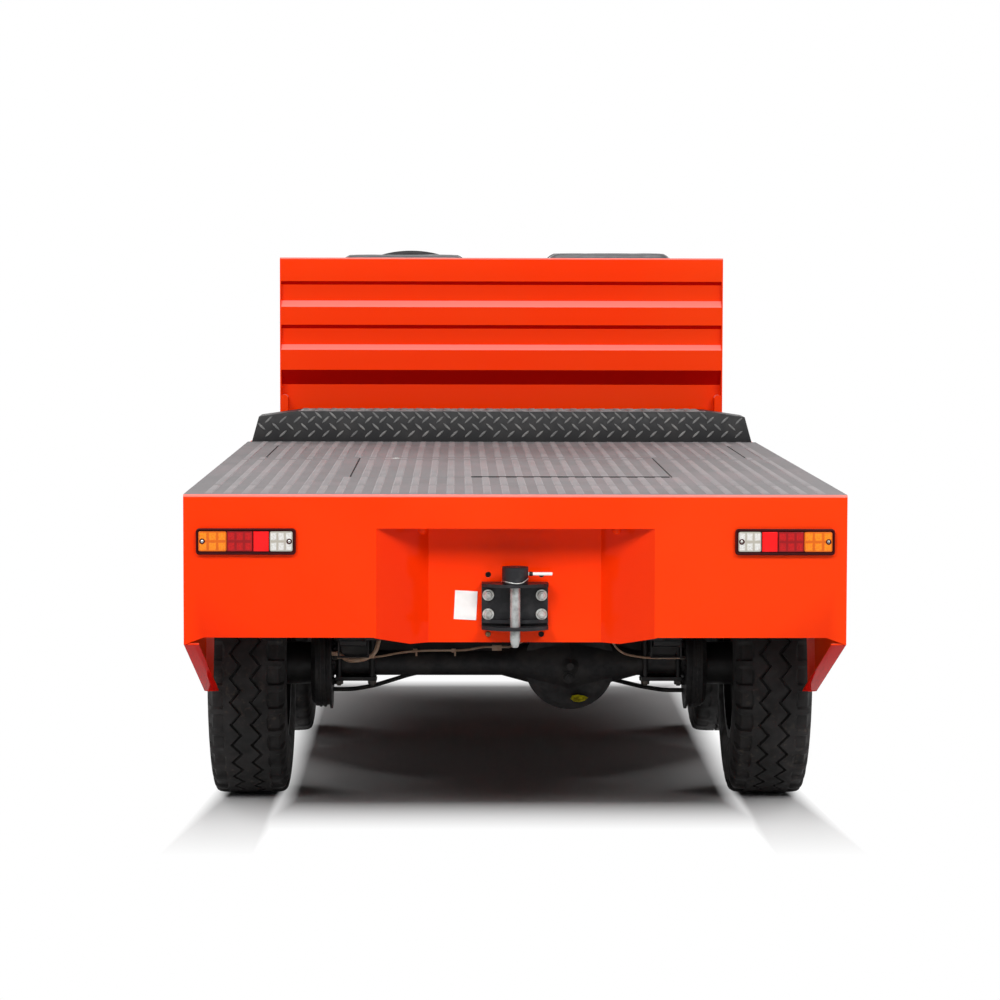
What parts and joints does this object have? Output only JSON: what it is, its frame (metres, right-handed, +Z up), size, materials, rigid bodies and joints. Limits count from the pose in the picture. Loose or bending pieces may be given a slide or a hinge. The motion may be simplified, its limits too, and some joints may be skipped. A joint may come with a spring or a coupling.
{
  "type": "electric platform truck",
  "caption": "Two-seat battery truck with a flat steel load deck, lift-up lids over motor and battery, steered front wheels and a pin coupling at the rear.",
  "frame": {"origin": "on the ground in the middle of the truck's length and width", "axes": "+Z up, +Y forward to the cab, +X to the right as seen from behind"},
  "size_m": [1.6, 3.724, 1.4916],
  "materials": {
    "body_red": "gloss",
    "deck_grey": "satin",
    "tread_black": "satin",
    "frame_black": "matt",
    "seat_black": "satin",
    "plastic_black": "matt",
    "floor_black": "matt",
    "lamp_red": "gloss",
    "lamp_clear": "gloss",
    "bracket_black": "satin",
    "pin_steel": "satin",
    "tyre_rubber": "matt",
    "rim_paint": "satin",
    "axle_black": "satin",
    "link_steel": "satin",
    "motor_grey": "matt",
    "battery_grey": "matt",
    "cable_black": "matt",
    "pipe_copper": "satin"
  },
  "bodies": {
    "chassis": {"rear_panel": "body_red", "side_panel_left": "body_red", "side_panel_right": "body_red", "deck_plate": "deck_grey", "kick_plate": "tread_black", "headboard": "body_red", "chassis_frame": "frame_black", "seat_base": "body_red", "cab_floor": "floor_black", "front_cowl": "body_red", "dashboard": "plastic_black", "steering_column": "plastic_black", "driver_cushion": "seat_black", "driver_backrest": "seat_black", "passenger_cushion": "seat_black", "passenger_backrest": "seat_black", "front_bumper": "tread_black", "headlights": "lamp_clear", "tail_lamps": "lamp_red", "pedals": "frame_black", "parking_lever": "frame_black", "tow_bracket": "bracket_black", "rear_axle": "axle_black", "drive_motor": "motor_grey", "battery": "battery_grey", "rear_springs": "frame_black", "front_springs": "frame_black", "front_axle": "axle_black", "parking_brake_cables": "cable_black", "brake_pipes": "pipe_copper"},
    "hatch_lid": {"hatch_lid": "deck_grey"},
    "battery_cover": {"battery_cover": "deck_grey"},
    "tow_pin": {"tow_pin": "pin_steel"},
    "steering_wheel": {"steering_wheel": "plastic_black"},
    "knuckle_left": {"knuckle_left": "axle_black"},
    "knuckle_right": {"knuckle_right": "axle_black"},
    "tie_rod": {"tie_rod": "link_steel"},
    "wheel_rear_left": {"tyre_rear_left": "tyre_rubber", "rim_rear_left": "rim_paint"},
    "wheel_rear_right": {"tyre_rear_right": "tyre_rubber", "rim_rear_right": "rim_paint"},
    "wheel_front_left": {"tyre_front_left": "tyre_rubber", "rim_front_left": "rim_paint"},
    "wheel_front_right": {"tyre_front_right": "tyre_rubber", "rim_front_right": "rim_paint"}
  },
  "joints": [
    {"name": "hatch_hinge", "type": "hinge", "parent": "chassis", "child": "hatch_lid", "pos_m": [0, -0.277, 0.885], "axis": [-1, 0, 0], "range_deg": [0, 85]},
    {"name": "cover_hinge", "type": "hinge", "parent": "chassis", "child": "battery_cover", "pos_m": [0, 0.403, 0.885], "axis": [-1, 0, 0], "range_deg": [0, 80]},
    {"name": "tow_pin_lift", "type": "slide", "parent": "chassis", "child": "tow_pin", "axis": [0, 0, 1], "range_m": [0, 0.085]},
    {"name": "steer_left", "type": "hinge", "parent": "chassis", "child": "knuckle_left", "pos_m": [-0.56, 0.441, 0.353], "axis": [0, 0, 1], "range_deg": [-32, 32]},
    {"name": "steer_right", "type": "hinge", "parent": "chassis", "child": "knuckle_right", "pos_m": [0.56, 0.441, 0.353], "axis": [0, 0, 1], "range_deg": [-32, 32]},
    {"name": "tie_rod_pivot", "type": "hinge", "parent": "knuckle_left", "child": "tie_rod", "pos_m": [-0.56, 0.291, 0.263], "axis": [0, 0, 1], "range_deg": [-32, 32]},
    {"name": "steering_wheel_turn", "type": "hinge", "parent": "chassis", "child": "steering_wheel", "pos_m": [-0.3, 1.48, 1.396], "axis": [0, -0.4695, 0.8829], "range_deg": [-512, 512]},
    {"name": "wheel_rear_left_spin", "type": "hinge", "parent": "chassis", "child": "wheel_rear_left", "pos_m": [-0.693, -0.784, 0.353], "axis": [-1, 0, 0], "continuous": true},
    {"name": "wheel_rear_right_spin", "type": "hinge", "parent": "chassis", "child": "wheel_rear_right", "pos_m": [0.693, -0.784, 0.353], "axis": [-1, 0, 0], "continuous": true},
    {"name": "wheel_front_left_spin", "type": "hinge", "parent": "knuckle_left", "child": "wheel_front_left", "pos_m": [-0.685, 0.441, 0.353], "axis": [-1, 0, 0], "continuous": true},
    {"name": "wheel_front_right_spin", "type": "hinge", "parent": "knuckle_right", "child": "wheel_front_right", "pos_m": [0.685, 0.441, 0.353], "axis": [-1, 0, 0], "continuous": true}
  ],
  "couplings": [
    {"joint": "steer_right", "follows": "steer_left", "ratio": 1},
    {"joint": "tie_rod_pivot", "follows": "steer_left", "ratio": -1},
    {"joint": "steering_wheel_turn", "follows": "steer_left", "ratio": 16}
  ]
}
